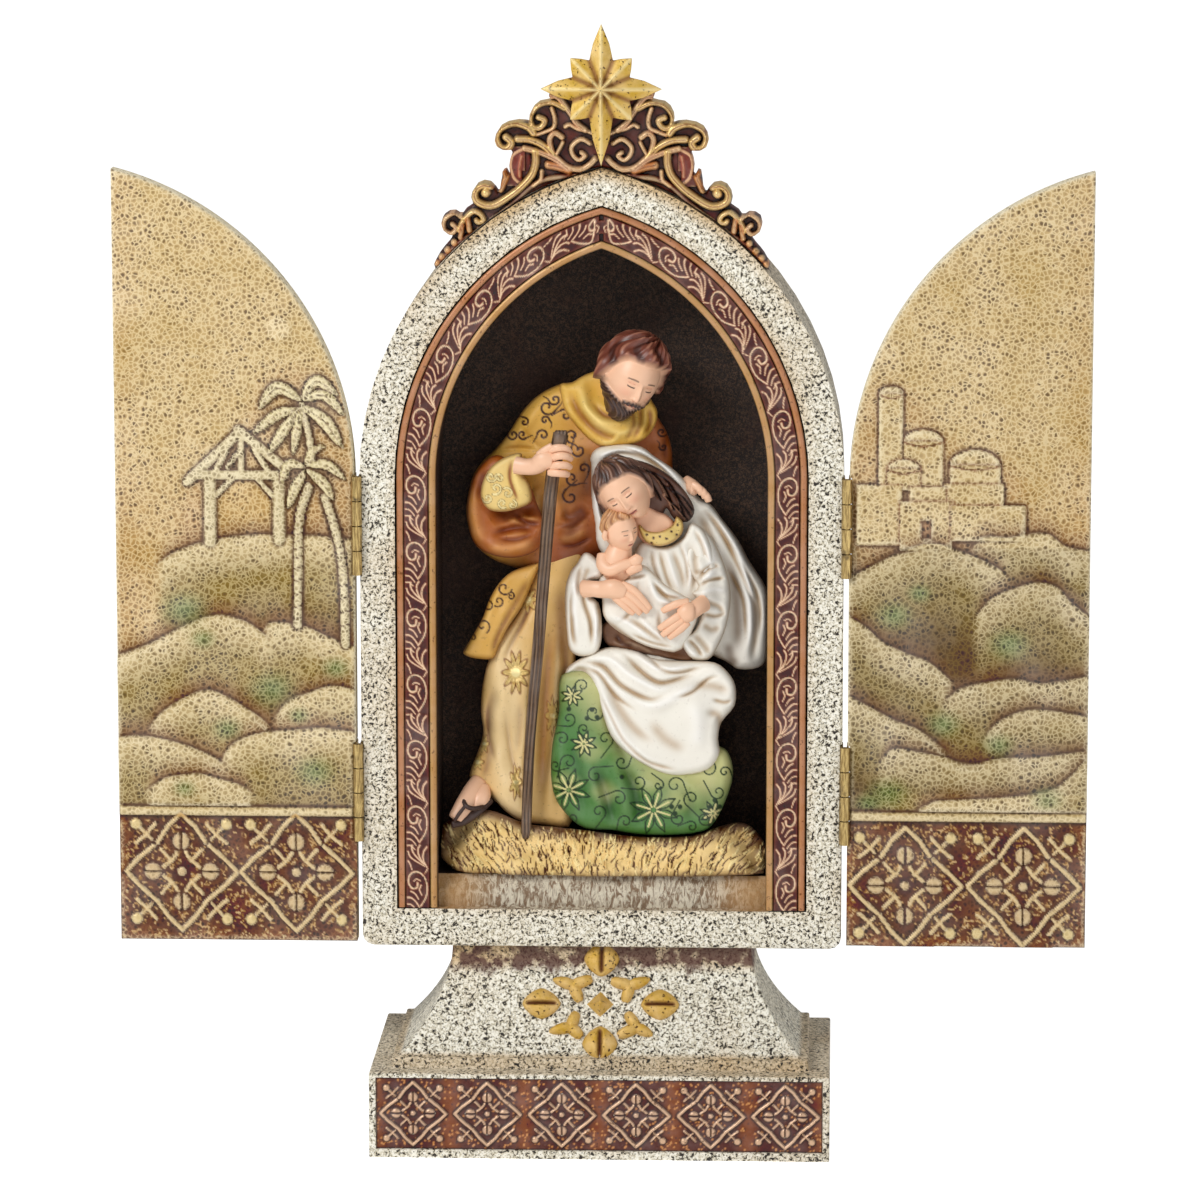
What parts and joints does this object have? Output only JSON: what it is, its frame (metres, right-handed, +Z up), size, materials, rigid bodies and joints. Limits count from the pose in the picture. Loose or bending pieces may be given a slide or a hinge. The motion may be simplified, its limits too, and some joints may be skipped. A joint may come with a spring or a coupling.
{
  "type": "triptych altarpiece",
  "caption": "Table-top pointed-arch triptych on a flared pedestal, with a carved family group in its niche, a scrollwork crest with a star, and hinged relief doors.",
  "frame": {"origin": "centre of the plinth's underside", "axes": "+Z up, +X to the viewer's right as seen from the front, -Y out of the niche towards the viewer"},
  "size_m": [0.246, 0.0636, 0.2869],
  "materials": {
    "ivory_stone": "ivory resin with dark pits and an ochre wash, like travertine",
    "maroon_and_copper": "maroon ground with pale copper scrolls and gilt beads",
    "gilt_bronze": "maroon ground with gilt and bronze scrolls",
    "antique_gold": "bright antique gold paint with dark specks",
    "painted_figures": "hand-painted resin: orange coat, white veil, green skirt, golden hay",
    "painted_sand": "stippled sandy gold landscape over a red-brown band with gilt motifs",
    "brass": "lacquered brass"
  },
  "bodies": {
    "body": {"pedestal": "ivory_stone", "case": "ivory_stone", "niche_border": "maroon_and_copper", "figure_group": "painted_figures", "crest": "gilt_bronze", "star": "antique_gold", "hinge_left_upper_case_leaf": "brass", "hinge_left_upper_pin": "brass", "hinge_left_lower_case_leaf": "brass", "hinge_left_lower_pin": "brass", "hinge_right_upper_case_leaf": "brass", "hinge_right_upper_pin": "brass", "hinge_right_lower_case_leaf": "brass", "hinge_right_lower_pin": "brass"},
    "left_door": {"door_left": "painted_sand", "hinge_left_upper_door_leaf": "brass", "hinge_left_lower_door_leaf": "brass"},
    "right_door": {"door_right": "painted_sand", "hinge_right_upper_door_leaf": "brass", "hinge_right_lower_door_leaf": "brass"}
  },
  "joints": [
    {"name": "left_door_hinge", "type": "hinge", "parent": "body", "child": "left_door", "pos_m": [-0.06175, -0.01725, 0.126], "axis": [0, 0, 1], "range_deg": [0, 180]},
    {"name": "right_door_hinge", "type": "hinge", "parent": "body", "child": "right_door", "pos_m": [0.06175, -0.01725, 0.126], "axis": [0, 0, -1], "range_deg": [0, 180]}
  ]
}
